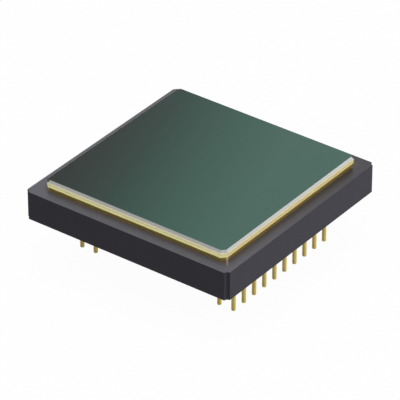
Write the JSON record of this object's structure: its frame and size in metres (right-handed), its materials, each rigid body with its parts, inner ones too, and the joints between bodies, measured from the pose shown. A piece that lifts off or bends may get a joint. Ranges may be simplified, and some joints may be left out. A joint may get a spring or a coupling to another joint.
{
  "type": "uncooled infrared detector",
  "caption": "Square vacuum package of a microbolometer array: dark stepped ceramic body, gold sealed frame, flat infrared window and double rows of plug-in pins.",
  "frame": {"origin": "centre of the ceramic body's flat underside, where the pins' heads are brazed on", "axes": "+Z runs from the underside to the window; the double pin columns run along Y and lie on the -X and +X sides; the index corner of the ceramic is at -X +Y"},
  "size_m": [0.0258, 0.0258, 0.0097],
  "materials": {
    "dark_ceramic": "fired alumina, dark grey, smooth with a soft gloss",
    "gold_plated_alloy": "thin gold over nickel on an iron and nickel alloy, satin",
    "gold_metallising": "printed or sputtered metal plated with gold, satin",
    "gold_tin_solder": "gold and tin solder, dull",
    "silver_braze": "silver and copper braze, dull",
    "coated_germanium": "opaque infrared glass under a dark blue-green coating, polished",
    "die_adhesive": "cured low-outgassing adhesive, matt",
    "silicon": "polished silicon under a thin passivation",
    "sensor_film": "fine grid of thin-film sensor bridges, dark with an interference tint",
    "aluminium_film": "bare aluminium film",
    "bond_wire": "drawn wire, bright",
    "getter_metal": "sintered porous metal powder on a thin metal strip, matt"
  },
  "bodies": {
    "root": {"ceramic_body": "dark_ceramic", "pin_lands": "gold_metallising", "seal_ring_braze": "silver_braze", "seal_ring": "gold_plated_alloy", "frame_solder": "gold_tin_solder", "window_frame": "gold_plated_alloy", "window_solder": "gold_tin_solder", "window_metal_rim": "gold_metallising", "window": "coated_germanium", "die_attach": "die_adhesive", "readout_die": "silicon", "bolometer_array": "sensor_film", "die_pads": "aluminium_film", "bond_fingers": "gold_metallising", "bond_wires": "bond_wire", "getter_pads": "gold_metallising", "getter_strip": "getter_metal", "pin_a01": "gold_plated_alloy", "pin_a02": "gold_plated_alloy", "pin_a03": "gold_plated_alloy", "pin_a04": "gold_plated_alloy", "pin_a05": "gold_plated_alloy", "pin_a06": "gold_plated_alloy", "pin_a07": "gold_plated_alloy", "pin_a08": "gold_plated_alloy", "pin_a09": "gold_plated_alloy", "pin_a10": "gold_plated_alloy", "pin_b01": "gold_plated_alloy", "pin_b02": "gold_plated_alloy", "pin_b03": "gold_plated_alloy", "pin_b04": "gold_plated_alloy", "pin_b05": "gold_plated_alloy", "pin_b06": "gold_plated_alloy", "pin_b07": "gold_plated_alloy", "pin_b08": "gold_plated_alloy", "pin_b09": "gold_plated_alloy", "pin_b10": "gold_plated_alloy", "pin_c01": "gold_plated_alloy", "pin_c02": "gold_plated_alloy", "pin_c03": "gold_plated_alloy", "pin_c04": "gold_plated_alloy", "pin_c05": "gold_plated_alloy", "pin_c06": "gold_plated_alloy", "pin_c07": "gold_plated_alloy", "pin_c08": "gold_plated_alloy", "pin_c09": "gold_plated_alloy", "pin_c10": "gold_plated_alloy", "pin_d01": "gold_plated_alloy", "pin_d02": "gold_plated_alloy", "pin_d03": "gold_plated_alloy", "pin_d04": "gold_plated_alloy", "pin_d05": "gold_plated_alloy", "pin_d06": "gold_plated_alloy", "pin_d07": "gold_plated_alloy", "pin_d08": "gold_plated_alloy", "pin_d09": "gold_plated_alloy", "pin_d10": "gold_plated_alloy"}
  },
  "joints": []
}
